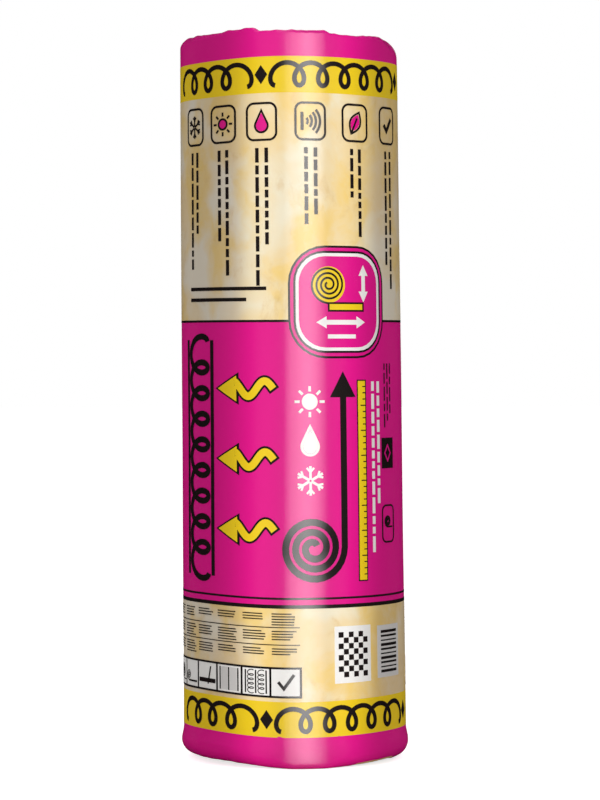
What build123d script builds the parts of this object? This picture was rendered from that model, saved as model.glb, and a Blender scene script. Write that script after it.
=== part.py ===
"""Insulation roll: a glass wool mat wound tight, held in a printed film sleeve.

The roll stands on its end with its axis on +Z and its foot on z = 0.
All sizes are in millimetres.
"""

import math
import os

from build123d import *

# The mat, as it is sold: its width is the height of the standing roll.
mat_width = 1200.0
mat_length = 5000.0

# The wound roll. It stands a little wider at its foot than at its head.
foot_radius = 184.6
head_radius = 180.2
bore_radius = 22.0
bore_mouth_round = 5.0
foot_shoulder = 26.0
head_shoulder = 20.0

# The roll settles on its foot and swells there, just above the shoulder.
foot_swell = 2.6
foot_swell_height = 74.0
foot_swell_round = 90.0

# Each end of the wool stands out through the opening in the film.
end_crown = 2.2
crown_slope = 5.0

# The turns meet on a spiral. Each turn's edge is rounded, down to a narrow slit.
turn_edge_radius = 9.0
turn_edge_depth = 8.4
turn_slit_width = 1.2
turn_slit_depth = 2.0

# The film sleeve and the fold that it makes over each end.
film_thickness = 0.5
film_clearance = 0.3
lip_reach = 12.0
lip_wave = 2.2
lip_waves_coarse = 7
lip_waves_fine = 16
lip_wave_points = 96

# Gathers pressed flat in the folded film. Each narrows to nothing at the wall.
gather_count = 22
gather_width = 6.0
gather_height = 0.9
gather_jitter = 5.0

# The lap down the back, where the two edges of the film are joined.
lap_width = 30.0
lap_height = 0.5
lap_end_gap = 40.0


def turn_pitch():
    """Thickness of the mat in the roll, from the area that the whole mat fills."""
    mean_radius = (foot_radius + head_radius) / 2
    ring_area = math.pi * (mean_radius**2 - bore_radius**2)
    return ring_area / mat_length


def opening_radius():
    """Mean radius of the opening that the folded film leaves at each end."""
    return min(foot_radius - foot_shoulder, head_radius - head_shoulder) - lip_reach


def turned(points, radii):
    """Turns a closed outline of (radius, height) corners about the roll's axis."""
    corners = [(radius, 0, height) for radius, height in points]
    outline = FilletPolyline(*corners, radius=radii, close=True)
    return revolve(make_face(outline), Axis.Z)


def wall_corners(offset, inner_radius):
    """Corners and rounds of the roll's outline, moved outwards by an offset."""
    corners = [
        (inner_radius, end_crown - offset),
        (foot_radius + foot_swell + offset, end_crown - offset),
        (foot_radius + offset, foot_swell_height),
        (head_radius + offset, mat_width - end_crown + offset),
        (inner_radius, mat_width - end_crown + offset),
    ]
    rounds = [0, foot_shoulder + offset, foot_swell_round, head_shoulder + offset, 0]
    return corners, rounds


def layer(under, over):
    """A closed skin all round the roll, between two offsets from the wool."""
    return turned(*wall_corners(over, 0)) - turned(*wall_corners(under, 0))


def mat_body():
    """The wound mat as one turned solid, with its bore and its crowned ends."""
    crown_foot = opening_radius() - lip_wave
    crown_top = crown_foot - crown_slope
    corners, rounds = wall_corners(0, crown_foot)
    corners = [
        (bore_radius, 0),
        (crown_top, 0),
        *corners,
        (crown_top, mat_width),
        (bore_radius, mat_width),
    ]
    rounds = [bore_mouth_round, 0, *rounds, 0, bore_mouth_round]
    return turned(corners, rounds)


def groove_section(radius):
    """Section of the groove between two turns, at a distance from the Z axis."""
    half_slit = turn_slit_width / 2
    flank_run = math.sqrt(turn_edge_radius**2 - turn_edge_depth**2)
    half_mouth = half_slit + turn_edge_radius - flank_run
    slit_top = turn_edge_depth + turn_slit_depth

    # The flank is the part of a round edge from the end face to the slit.
    mid_angle = math.atan2(turn_edge_depth, flank_run) / 2
    mid_across = half_slit + turn_edge_radius * (1 - math.cos(mid_angle))
    mid_height = turn_edge_depth - turn_edge_radius * math.sin(mid_angle)

    def at(across, height):
        return (radius + across, 0, height)

    def flank(side):
        return ThreePointArc(
            at(side * half_mouth, 0),
            at(side * mid_across, mid_height),
            at(side * half_slit, turn_edge_depth),
        )

    slit = Polyline(
        at(-half_slit, turn_edge_depth),
        at(-half_slit, slit_top),
        at(half_slit, slit_top),
        at(half_slit, turn_edge_depth),
    )
    mouth = Polyline(
        at(half_mouth, 0),
        at(half_mouth, -turn_edge_radius),
        at(-half_mouth, -turn_edge_radius),
        at(-half_mouth, 0),
    )
    return make_face([flank(-1), slit, flank(1), mouth])


def spiral_grooves():
    """The spiral where the turns meet, as half circles on two centres.

    It runs on for one half turn under the folded film and ends there, unseen.
    """
    pitch = turn_pitch()
    first_radius = bore_radius + pitch / 4
    last_radius = opening_radius() + lip_reach + pitch / 2
    half_turns = math.ceil(2 * (last_radius - first_radius) / pitch)
    grooves = []
    for count in range(half_turns):
        section = groove_section(first_radius + count * pitch / 2)
        groove = revolve(section, Axis.Z, revolution_arc=180)
        centre = pitch / 4 if count % 2 else -pitch / 4
        turn = 180 if count % 2 else 0
        grooves.append(Pos(centre, 0, 0) * Rot(0, 0, turn) * groove)
    return grooves


def make_wool_roll():
    """The mat with its turns showing on both ends."""
    wool = mat_body()
    middle = Plane.XY.offset(mat_width / 2)
    for groove in spiral_grooves():
        wool = wool - groove - mirror(groove, about=middle)
    return wool


def lip_edge(shift):
    """Wavy edge of the opening in the film, as a flat face."""
    points = []
    for index in range(lip_wave_points):
        angle = 2 * math.pi * index / lip_wave_points
        coarse = math.sin(lip_waves_coarse * angle + shift)
        fine = math.sin(lip_waves_fine * angle + 2 * shift)
        radius = opening_radius() + lip_wave * (0.6 * coarse + 0.4 * fine)
        points.append((radius * math.cos(angle), radius * math.sin(angle)))
    return make_face(Spline(*points, periodic=True))


def gather_wedge(angle, wall_radius, shoulder):
    """Upright prism over one gather: widest at the lip, a point at the wall."""
    inner = opening_radius() + lip_wave + film_thickness
    tip = wall_radius + film_clearance + film_thickness + gather_height
    plan = Polygon(
        (inner, -gather_width / 2), (tip, 0), (inner, gather_width / 2), align=None
    )
    return Rot(0, 0, angle) * extrude(plan, amount=end_crown + shoulder, both=True)


def gathers():
    """Folds pressed flat round both ends, a little unevenly spaced."""
    over = film_clearance + film_thickness + gather_height
    second_layer = layer(film_clearance + film_thickness / 2, over)
    foot_wall = foot_radius + foot_swell
    folds = []
    for index in range(gather_count):
        even = 360 * index / gather_count
        foot_angle = even + gather_jitter * math.sin(2.4 * index)
        head_angle = even + gather_jitter * math.cos(1.7 * index)
        foot_wedge = gather_wedge(foot_angle, foot_wall, foot_shoulder)
        head_wedge = gather_wedge(head_angle, head_radius, head_shoulder)
        folds.append(second_layer & foot_wedge)
        folds.append(second_layer & Pos(0, 0, mat_width) * head_wedge)
    return folds


def lap():
    """A second layer of film down the back, over the wall only."""
    joined = film_clearance + film_thickness
    second_layer = layer(film_clearance + film_thickness / 2, joined + lap_height)
    reach = foot_radius + foot_swell + joined + lap_height
    window = Box(
        lap_width,
        reach,
        mat_width - 2 * lap_end_gap,
        align=(Align.CENTER, Align.MIN, Align.CENTER),
    )
    return second_layer & Pos(0, 0, mat_width / 2) * window


def make_film_sleeve():
    """The printed film, from its fold over the foot to its fold over the head."""
    skin = layer(film_clearance, film_clearance + film_thickness)
    cut_depth = end_crown + film_clearance + film_thickness
    foot_cut = extrude(lip_edge(0.4), amount=cut_depth, both=True)
    head_cut = extrude(lip_edge(1.9), amount=cut_depth, both=True)
    skin = skin - foot_cut - Pos(0, 0, mat_width) * head_cut
    return skin + [lap(), *gathers()]


def main():
    """Writes one STEP file for each piece."""
    os.makedirs("parts", exist_ok=True)
    pieces = {"wool_roll": make_wool_roll(), "film_sleeve": make_film_sleeve()}
    for name, piece in pieces.items():
        piece.label = name
        export_step(piece, f"parts/{name}.step")
        print(name, round(piece.volume), "mm3")
    print("turn pitch", round(turn_pitch(), 2), "mm")


main()
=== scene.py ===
"""Insulation roll: a wound glass wool mat in a printed film sleeve, dressed for its picture.

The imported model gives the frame. The film, the mat and the print are modelled here at its size.
Lengths are in metres. An azimuth is in radians, 0 at the printed front (-Y), growing towards +X.
"""

from __future__ import annotations

import logging
import math
import random
from contextlib import contextmanager
from dataclasses import dataclass, field
from enum import Enum
from typing import Callable, Iterator, Sequence

import bpy
from mathutils import Matrix, Quaternion, Vector, noise

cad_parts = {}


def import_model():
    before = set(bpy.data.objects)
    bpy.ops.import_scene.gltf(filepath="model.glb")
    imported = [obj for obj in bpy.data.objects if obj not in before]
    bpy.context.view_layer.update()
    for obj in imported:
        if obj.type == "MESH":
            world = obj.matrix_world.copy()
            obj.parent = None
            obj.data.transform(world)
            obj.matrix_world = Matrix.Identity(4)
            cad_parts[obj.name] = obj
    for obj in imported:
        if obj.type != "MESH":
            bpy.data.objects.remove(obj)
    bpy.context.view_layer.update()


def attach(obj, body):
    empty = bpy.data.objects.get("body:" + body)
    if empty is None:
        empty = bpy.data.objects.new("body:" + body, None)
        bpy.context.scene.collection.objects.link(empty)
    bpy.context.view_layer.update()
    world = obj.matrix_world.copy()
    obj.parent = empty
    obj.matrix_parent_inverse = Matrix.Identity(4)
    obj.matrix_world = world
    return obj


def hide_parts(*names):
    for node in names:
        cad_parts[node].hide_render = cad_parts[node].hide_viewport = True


LOG = logging.getLogger("insulation_roll")
TURN = 2 * math.pi
BODY = "root"
MM = 0.001

Colour = tuple[float, float, float]
Point2 = tuple[float, float]
Span = tuple[float, float]
Outline = list[Point2]

# Marks are places with a value each. A ripple is a size, a number of waves and a seed.
Marks = tuple[Point2, ...]
Ripple = tuple[float, float, float]


class Slot(Enum):
    """Material slots of the record."""

    WOOL = "glass_wool"
    FILM = "printed_film"
    YELLOW = "print_yellow"
    CREAM = "print_cream"
    BLACK = "print_black"
    WHITE = "print_white"


class End(Enum):
    """The two ends of the standing roll, by the way that each one faces."""

    FOOT = -1
    HEAD = 1


def screen_colour(red: int, green: int, blue: int) -> Colour:
    """Turns a colour given in 0 to 255 screen values into linear light.

    Args:
        red: Screen value of red.
        green: Screen value of green.
        blue: Screen value of blue.

    Returns:
        The linear colour that a shader socket takes.
    """
    parts = [value / 255 for value in (red, green, blue)]
    linear = [
        part / 12.92 if part <= 0.04045 else ((part + 0.055) / 1.055) ** 2.4 for part in parts
    ]
    return (linear[0], linear[1], linear[2])


def smooth_step(low: float, high: float, value: float) -> float:
    """Rises smoothly from 0 at low to 1 at high; falls where high is the smaller."""
    share = min(max((value - low) / (high - low), 0.0), 1.0)
    return share * share * (3 - 2 * share)


def follow(marks: Marks, place: float) -> float:
    """Reads a smooth line that goes through marks.

    Args:
        marks: Places in rising order, each with its value.
        place: Where to read the line.

    Returns:
        The value there, or 0 beyond the marks.
    """
    for (start, low), (end, high) in zip(marks, marks[1:]):
        if start <= place <= end:
            return low + (high - low) * smooth_step(start, end, place)
    return 0.0


def wrapped(angle: float) -> float:
    """Brings an angle into the range from minus half a turn to half a turn."""
    return (angle + math.pi) % TURN - math.pi


def round_point(radius: float, azimuth: float, height: float) -> Vector:
    """The point at a radius, an azimuth and a height."""
    return Vector((radius * math.sin(azimuth), -radius * math.cos(azimuth), height))


def round_noise(azimuth: float, waves: float, seed: float) -> float:
    """Smooth noise from -1 to 1 that closes on itself round the roll."""
    reach = waves / TURN
    return noise.noise(Vector((reach * math.cos(azimuth), reach * math.sin(azimuth), seed)))


def rippled(ripples: Sequence[Ripple], azimuth: float, shift: float = 0.0) -> float:
    """Adds up noise round the roll, from parts of a size, a number of waves and a seed."""
    return sum(size * round_noise(azimuth, waves, seed + shift) for size, waves, seed in ripples)


def deselect_everything() -> None:
    """Leaves no object selected, CAD nodes included."""
    if bpy.context.object and bpy.context.object.mode != "OBJECT":
        bpy.ops.object.mode_set(mode="OBJECT")
    bpy.ops.object.select_all(action="DESELECT")


def choose(*objects: bpy.types.Object) -> None:
    """Selects objects and nothing else.

    Args:
        *objects: The objects; the first one becomes the active one.
    """
    deselect_everything()
    for chosen in objects:
        chosen.select_set(True)
    bpy.context.view_layer.objects.active = objects[0]


@contextmanager
def editing(piece: bpy.types.Object) -> Iterator[None]:
    """Holds a piece in edit mode, with all of it selected at first.

    Args:
        piece: The piece to edit.

    Yields:
        Nothing, while the piece is in edit mode.
    """
    choose(piece)
    bpy.ops.object.mode_set(mode="EDIT")
    bpy.ops.mesh.select_all(action="SELECT")
    yield
    bpy.ops.object.mode_set(mode="OBJECT")


def named(name: str) -> bpy.types.Object:
    """Names the object that was added last, and its mesh.

    Args:
        name: The new name.

    Returns:
        The object.
    """
    piece = bpy.context.object
    piece.name = piece.data.name = name
    return piece


def placed(name: str, data: bpy.types.ID) -> bpy.types.Object:
    """Puts new data into the scene.

    Args:
        name: Name of the object.
        data: Its curve, lamp or camera.

    Returns:
        The object that carries the data.
    """
    piece = bpy.data.objects.new(name, data)
    bpy.context.collection.objects.link(piece)
    return piece


def as_meshes(curves: Sequence[bpy.types.Object]) -> list[bpy.types.Object]:
    """Turns curve objects into meshes.

    Args:
        curves: The objects to turn.

    Returns:
        The objects as meshes, still selected.
    """
    choose(*curves)
    bpy.ops.object.convert(target="MESH")
    return list(bpy.context.selected_objects)


def add_run(
    curve: bpy.types.Curve, points: Sequence[Sequence[float]], closed: bool = False
) -> bpy.types.Spline:
    """Adds a run of straight lines to a curve.

    Args:
        curve: The curve.
        points: Points of the run, with three numbers each.
        closed: Whether the run's end joins its start.

    Returns:
        The new spline.
    """
    spline = curve.splines.new("POLY")
    spline.points.add(len(points) - 1)
    for knot, point in zip(spline.points, points):
        knot.co = (*point, 1.0)
    spline.use_cyclic_u = closed
    return spline


def close_up(piece: bpy.types.Object, merge: float = 0.01 * MM) -> None:
    """Merges what lies on the same spot and turns all faces outwards.

    Args:
        piece: The piece to close.
        merge: The distance up to which points are merged.
    """
    with editing(piece):
        bpy.ops.mesh.remove_doubles(threshold=merge)
        bpy.ops.mesh.normals_make_consistent(inside=False)


def formed_grid(
    name: str, columns: int, rows: int, place: Callable[[float, float], Vector]
) -> bpy.types.Object:
    """Lays out a flat grid and forms it into a piece.

    Args:
        name: Name of the piece.
        columns: Number of faces across.
        rows: Number of faces up.
        place: Gives the final place of a point from its shares across and up.

    Returns:
        The formed object, with its doubles merged and its faces turned outwards.
    """
    deselect_everything()
    bpy.ops.mesh.primitive_grid_add(x_subdivisions=columns, y_subdivisions=rows, size=1)
    piece = named(name)
    for vertex in piece.data.vertices:
        across, up, _ = vertex.co
        vertex.co = place(across + 0.5, up + 0.5)
    close_up(piece)
    bpy.ops.object.shade_smooth()
    return piece


def drawn_line(name: str, points: Sequence[Vector], label: str) -> bpy.types.Object:
    """Draws an open line vertex by vertex, each one keeping its share of the way.

    Args:
        name: Name of the piece that the line starts.
        points: Points of the line.
        label: Name of the point attribute that keeps the shares, 0 at the start and 1 at the end.

    Returns:
        The line as an object.
    """
    deselect_everything()
    bpy.ops.mesh.primitive_plane_add(size=MM)
    piece = named(name)
    with editing(piece):
        bpy.ops.mesh.merge(type="CENTER")
        bpy.ops.transform.translate(value=points[0])
        for start, end in zip(points, points[1:]):
            bpy.ops.mesh.extrude_region_move(TRANSFORM_OT_translate={"value": end - start})
    shares = piece.data.attributes.new(label, "FLOAT", "POINT")
    for index, vertex in enumerate(piece.data.vertices):
        gaps = [(point - vertex.co).length_squared for point in points]
        shares.data[index].value = gaps.index(min(gaps)) / (len(points) - 1)
    return piece


def spun(piece: bpy.types.Object, steps: int, angle: float, centre: float = 0.0) -> None:
    """Spins a drawn section about an upright axis through a place on X."""
    with editing(piece):
        bpy.ops.mesh.spin(steps=steps, angle=angle, center=(centre, 0, 0), axis=(0, 0, 1))


def copied(piece: bpy.types.Object, turn: float) -> bpy.types.Object:
    """Copies a piece with its own mesh, turned about the roll's axis.

    Args:
        piece: The piece to copy.
        turn: How far the copy is turned, in radians.

    Returns:
        The copy.
    """
    copy = placed(piece.name, piece.data.copy())
    copy.data.transform(Matrix.Rotation(turn, 4, "Z"))
    return copy


def joined(pieces: Sequence[bpy.types.Object]) -> bpy.types.Object:
    """Joins pieces.

    Args:
        pieces: The pieces to join.

    Returns:
        The first piece, with the others in it.
    """
    choose(*pieces)
    if len(pieces) > 1:
        bpy.ops.object.join()
    return bpy.context.object


def apply_solidify(piece: bpy.types.Object, thickness: float) -> None:
    """Gives a sheet its thickness, inwards from its face.

    Args:
        piece: The sheet.
        thickness: Its thickness.
    """
    choose(piece)
    wall = piece.modifiers.new("wall", "SOLIDIFY")
    wall.thickness = thickness
    wall.offset = -1
    wall.use_rim = True
    bpy.ops.object.modifier_apply(modifier=wall.name)


def dress(
    piece: bpy.types.Object, material: bpy.types.Material, shape: RollShape
) -> None:
    """Finishes a piece.

    Args:
        piece: The modelled piece.
        material: Its material.
        shape: The roll, whose slight lean the piece takes on.
    """
    for vertex in piece.data.vertices:
        vertex.co.x += shape.lean_at(vertex.co.z)
    piece.data.materials.clear()
    piece.data.materials.append(material)
    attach(piece, BODY)
    LOG.info("%s: %d faces", piece.name, len(piece.data.polygons))


@dataclass(frozen=True)
class Cloud:
    """A soft pattern: its patches to a metre, how fine and how harsh they are, and its draw.

    A draw scales the pattern on each axis. An edge is the span of values spread over 0 to 1.
    """

    scale: float
    detail: float = 3.0
    roughness: float = 0.5
    draw: tuple[float, float, float] | None = None
    edge: Span | None = None


class NodeSheet:
    """Short ways to place and join nodes in one node tree."""

    def __init__(self, tree: bpy.types.NodeTree) -> None:
        """Starts on an empty tree."""
        self.tree = tree
        self.tree.nodes.clear()

    def feed(self, socket: bpy.types.NodeSocket, source: object) -> None:
        """Links a socket to another one, or sets its plain value.

        Args:
            socket: The socket to feed.
            source: Another socket, a number, a colour or a point.
        """
        if isinstance(source, bpy.types.NodeSocket):
            self.tree.links.new(source, socket)
        elif isinstance(source, tuple) and socket.type == "RGBA":
            socket.default_value = (*source, 1.0)
        else:
            socket.default_value = source

    def fill(self, node: bpy.types.Node, inputs: dict[str | int, object]) -> None:
        """Feeds a node's inputs, each by its name or its number."""
        for key, source in inputs.items():
            self.feed(node.inputs[key], source)

    def add(
        self, kind: str, inputs: dict[str | int, object] | None = None, **settings: object
    ) -> bpy.types.Node:
        """Adds a node, sets its properties and feeds its inputs.

        Args:
            kind: Blender's name of the node type.
            inputs: What to feed in, by the name or the number of the input.
            **settings: Properties of the node, by name.

        Returns:
            The new node.
        """
        node = self.tree.nodes.new(kind)
        for key, value in settings.items():
            setattr(node, key, value)
        self.fill(node, inputs or {})
        return node

    def math(self, operation: str, *terms: object) -> bpy.types.NodeSocket:
        """Adds one step of arithmetic and returns its result."""
        return self.add("ShaderNodeMath", dict(enumerate(terms)), operation=operation).outputs[0]

    def total(self, *parts: tuple[object, object]) -> bpy.types.NodeSocket:
        """Adds values up.

        Args:
            *parts: Each value with its weight.

        Returns:
            The weighted sum.
        """
        result = None
        for value, weight in parts:
            amount = value if weight == 1.0 else self.math("MULTIPLY", value, weight)
            result = amount if result is None else self.math("ADD", result, amount)
        return result

    def mix(
        self, share: object, first: object, second: object, blend: str = "MIX"
    ) -> bpy.types.NodeSocket:
        """Mixes two colours.

        Args:
            share: How much of the second colour shows.
            first: First colour or socket.
            second: Second colour or socket.
            blend: Blender's name of the way of mixing.

        Returns:
            The mixed colour.
        """
        inputs = {"Factor": share, 6: first, 7: second}
        return self.add("ShaderNodeMix", inputs, data_type="RGBA", blend_type=blend).outputs[2]

    def ramp(self, value: bpy.types.NodeSocket, span: Span) -> bpy.types.NodeSocket:
        """Spreads a span of values over 0 to 1, smoothly."""
        inputs = {"Value": value, "From Min": span[0], "From Max": span[1]}
        return self.add("ShaderNodeMapRange", inputs, interpolation_type="SMOOTHSTEP").outputs[0]

    def noise(self, place: bpy.types.NodeSocket, cloud: Cloud) -> bpy.types.Node:
        """Lays a pattern out.

        Args:
            place: The points to lay it over.
            cloud: The pattern.

        Returns:
            The noise node, with the bare pattern as its Fac and three of them as its Color.
        """
        if cloud.draw:
            place = self.add("ShaderNodeMapping", {"Vector": place, "Scale": cloud.draw}).outputs[0]
        look = {"Scale": cloud.scale, "Detail": cloud.detail, "Roughness": cloud.roughness}
        return self.add("ShaderNodeTexNoise", {"Vector": place, **look})

    def cloud(self, place: bpy.types.NodeSocket, cloud: Cloud) -> bpy.types.NodeSocket:
        """Reads a pattern from 0 to 1 at a place, with its edge."""
        value = self.noise(place, cloud).outputs["Fac"]
        return self.ramp(value, cloud.edge) if cloud.edge else value

    def bump(
        self, height: bpy.types.NodeSocket, strength: float, distance: float
    ) -> bpy.types.NodeSocket:
        """Turns a height into the direction that the bumpy surface faces."""
        inputs = {"Height": height, "Strength": strength, "Distance": distance}
        return self.add("ShaderNodeBump", inputs).outputs["Normal"]

    def object_place(self) -> bpy.types.NodeSocket:
        """The point on the piece, in metres in its own frame."""
        return self.add("ShaderNodeTexCoord").outputs["Object"]


def new_material(name: str) -> tuple[bpy.types.Material, NodeSheet, bpy.types.Node]:
    """Starts a material.

    Args:
        name: Name of the material.

    Returns:
        The material, its node sheet and its Principled shader, joined to the output.
    """
    material = bpy.data.materials.new(name)
    material.use_nodes = True
    sheet = NodeSheet(material.node_tree)
    shader = sheet.add("ShaderNodeBsdfPrincipled")
    sheet.add("ShaderNodeOutputMaterial", {"Surface": shader.outputs["BSDF"]})
    return material, sheet, shader


@dataclass(frozen=True)
class FilmSkin:
    """The surface that all printed film shares: faint drawn streaks, crinkles, grain and scuffs."""

    drawn: Cloud = Cloud(34.0, draw=(1.0, 1.0, 0.12))
    crinkle: Cloud = Cloud(75.0, 4.0, 0.55, draw=(1.0, 1.0, 0.45))
    grain: Cloud = Cloud(900.0, 2.0)
    scuff: Cloud = Cloud(9.0, 5.0, 0.6, edge=(0.55, 0.72))
    drawn_height: float = 0.6
    grain_height: float = 0.015
    scuff_roughness: float = 0.03
    grain_roughness: float = 0.04

    def group(self) -> bpy.types.NodeTree:
        """Builds the shared effect.

        Returns:
            A group with a Roughness and a Height that vary over the surface.
        """
        tree = bpy.data.node_groups.new("film_skin", "ShaderNodeTree")
        for way, names in (
            ("INPUT", ("Sheen Roughness", "Crinkle")),
            ("OUTPUT", ("Roughness", "Height")),
        ):
            for name in names:
                tree.interface.new_socket(name, in_out=way, socket_type="NodeSocketFloat")
        sheet = NodeSheet(tree)
        given = sheet.add("NodeGroupInput").outputs
        place = sheet.object_place()
        drawn = sheet.cloud(place, self.drawn)
        crinkle = sheet.cloud(place, self.crinkle)
        grain = sheet.cloud(place, self.grain)
        scuff = sheet.cloud(place, self.scuff)
        worn = (scuff, self.scuff_roughness), (grain, self.grain_roughness)
        rough = sheet.total((given["Sheen Roughness"], 1.0), *worn)
        ridges = (drawn, self.drawn_height), (crinkle, given["Crinkle"])
        height = sheet.total(*ridges, (grain, self.grain_height))
        sheet.add("NodeGroupOutput", {"Roughness": rough, "Height": height})
        return tree


@dataclass(frozen=True)
class FilmGloss:
    """How glossy and how crinkled the printed film is, with or without ink on it."""

    skin: bpy.types.NodeTree
    roughness: float = 0.22
    crinkle: float = 0.2
    bump_strength: float = 0.35
    bump_distance: float = 0.6 * MM
    coat: float = 0.35
    coat_roughness: float = 0.17
    refraction: float = 1.40

    def polish(self, sheet: NodeSheet, shader: bpy.types.Node) -> None:
        """Joins the film's gloss to a shader.

        Args:
            sheet: Node sheet of the material.
            shader: Principled shader of the material.
        """
        given = {"Sheen Roughness": self.roughness, "Crinkle": self.crinkle}
        skin = sheet.add("ShaderNodeGroup", given, node_tree=self.skin).outputs
        normal = sheet.bump(skin["Height"], self.bump_strength, self.bump_distance)
        sheet.fill(shader, {"Roughness": skin["Roughness"], "Normal": normal})
        shader.inputs["Coat Weight"].default_value = self.coat
        shader.inputs["Coat Roughness"].default_value = self.coat_roughness
        shader.inputs["IOR"].default_value = self.refraction


MAGENTA = screen_colour(232, 8, 140)
YELLOW = screen_colour(244, 208, 24)
BLACK = screen_colour(32, 24, 24)
WHITE = screen_colour(246, 244, 240)
GREY = screen_colour(214, 211, 208)


@dataclass(frozen=True)
class PlainInk:
    """One plain colour on the film: a touch uneven, as ink on thin film is."""

    name: str
    colour: Colour
    gloss: FilmGloss
    spots: Cloud = Cloud(160.0, 4.0, 0.6, edge=(0.45, 0.8))
    unevenness: float = 0.1
    fade: float = 1.2
    fade_least: float = 0.008

    def material(self) -> bpy.types.Material:
        """Builds the inked film.

        Returns:
            The material.
        """
        material, sheet, shader = new_material(self.name)
        spots = sheet.cloud(sheet.object_place(), self.spots)
        faded = tuple(min(part * self.fade + self.fade_least, 1.0) for part in self.colour)
        share = sheet.math("MULTIPLY", spots, self.unevenness)
        sheet.fill(shader, {"Base Color": sheet.mix(share, self.colour, faded)})
        self.gloss.polish(sheet, shader)
        return material


@dataclass(frozen=True)
class CloudInk:
    """The cream field, printed with the look of loose wool in golden clouds, with painted shade
    that darkens its sides.
    """

    name: str
    gloss: FilmGloss
    cream: Colour = screen_colour(246, 219, 164)
    pale: Colour = screen_colour(246, 235, 206)
    gold: Colour = screen_colour(249, 211, 116)
    sand: Colour = screen_colour(224, 187, 120)
    haze: Cloud = Cloud(7.0, edge=(0.40, 0.62))
    golden: Cloud = Cloud(10.0, 5.0, draw=(1.0, 1.0, 0.6), edge=(0.46, 0.62))
    sandy: Cloud = Cloud(17.0, 6.0, 0.6, draw=(1.6, 1.6, 1.0), edge=(0.56, 0.76))
    tufted: Cloud = Cloud(42.0, 4.0, 0.6, edge=(0.42, 0.66))
    gold_share: float = 0.8
    sand_share: float = 0.55
    tuft_share: float = 0.16
    swirl: Cloud = Cloud(9.0)
    swirl_reach: float = 0.09
    # Painted shade: this tint darkens the colour towards the left and right sides, over the span
    # given in metres sideways from the middle azimuth.
    painted_side_shade: Colour = (0.84, 0.83, 0.90)
    painted_shade_span: Span = (0.095, 0.122)
    middle: float = math.radians(10)

    def material(self) -> bpy.types.Material:
        """Builds the clouded film.

        Returns:
            The material, with its clouds bent a little and its sides darkened a little by painted
            shade.
        """
        material, sheet, shader = new_material(self.name)
        place = sheet.object_place()
        swirl = sheet.noise(place, self.swirl).outputs["Color"]
        bending = {0: swirl, 1: (self.swirl_reach,) * 3, 2: place}
        bent = sheet.add("ShaderNodeVectorMath", bending, operation="MULTIPLY_ADD").outputs[0]
        colour = sheet.mix(sheet.cloud(bent, self.haze), self.cream, self.pale)
        for cloud, share, tint in (
            (self.golden, self.gold_share, self.gold),
            (self.sandy, self.sand_share, self.sand),
            (self.tufted, self.tuft_share, self.pale),
        ):
            patches = sheet.math("MULTIPLY", sheet.cloud(bent, cloud), share)
            colour = sheet.mix(patches, colour, tint)
        # Painted shade: the colour gets darker towards the left and right sides, the same in front
        # and behind.
        sideways = (math.cos(self.middle), math.sin(self.middle), 0.0)
        across = sheet.add("ShaderNodeVectorMath", {0: place, 1: sideways}, operation="DOT_PRODUCT")
        side = sheet.ramp(sheet.math("ABSOLUTE", across.outputs["Value"]), self.painted_shade_span)
        sheet.fill(shader, {"Base Color": sheet.mix(side, colour, self.painted_side_shade, "MULTIPLY")})
        self.gloss.polish(sheet, shader)
        return material


@dataclass(frozen=True)
class WoolFinish:
    """Matted glass fibre: yellow, laid in thin layers along the mat, with darker binder spots."""

    light: Colour = screen_colour(246, 224, 146)
    dark: Colour = screen_colour(212, 172, 88)
    binder: Colour = screen_colour(172, 126, 60)
    layers: Cloud = Cloud(1.0, 4.0, 0.6, draw=(26.0, 900.0, 60.0))
    fibres: Cloud = Cloud(1.0, 3.0, 0.65, draw=(240.0, 1500.0, 240.0))
    tufts: Cloud = Cloud(70.0, 5.0, 0.6)
    spots: Cloud = Cloud(210.0, 3.0, 0.6, edge=(0.6, 0.78))
    layer_share: float = 0.55
    tuft_share: float = 0.45
    spot_share: float = 0.45
    light_span: Span = (0.36, 0.66)
    layer_height: float = 0.8
    bump_strength: float = 0.9
    bump_distance: float = 1.2 * MM
    roughness: float = 0.95
    sheen: float = 0.25

    def material(self) -> bpy.types.Material:
        """Builds the wool, patterned along the mat by its own "mat" attribute.

        Returns:
            The material.
        """
        material, sheet, shader = new_material("glass_wool")
        flat = sheet.add("ShaderNodeAttribute", attribute_name="mat").outputs["Vector"]
        place = sheet.object_place()
        layers, fibres = sheet.cloud(flat, self.layers), sheet.cloud(flat, self.fibres)
        tufts, spots = sheet.cloud(place, self.tufts), sheet.cloud(place, self.spots)
        tone = sheet.total((layers, self.layer_share), (tufts, self.tuft_share))
        colour = sheet.mix(sheet.ramp(tone, self.light_span), self.dark, self.light)
        colour = sheet.mix(sheet.math("MULTIPLY", spots, self.spot_share), colour, self.binder)
        relief = sheet.total((fibres, 1.0), (layers, self.layer_height), (tufts, 1.0))
        normal = sheet.bump(relief, self.bump_strength, self.bump_distance)
        sheet.fill(shader, {"Base Color": colour, "Normal": normal})
        shader.inputs["Roughness"].default_value = self.roughness
        shader.inputs["Sheen Weight"].default_value = self.sheen
        return material


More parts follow.
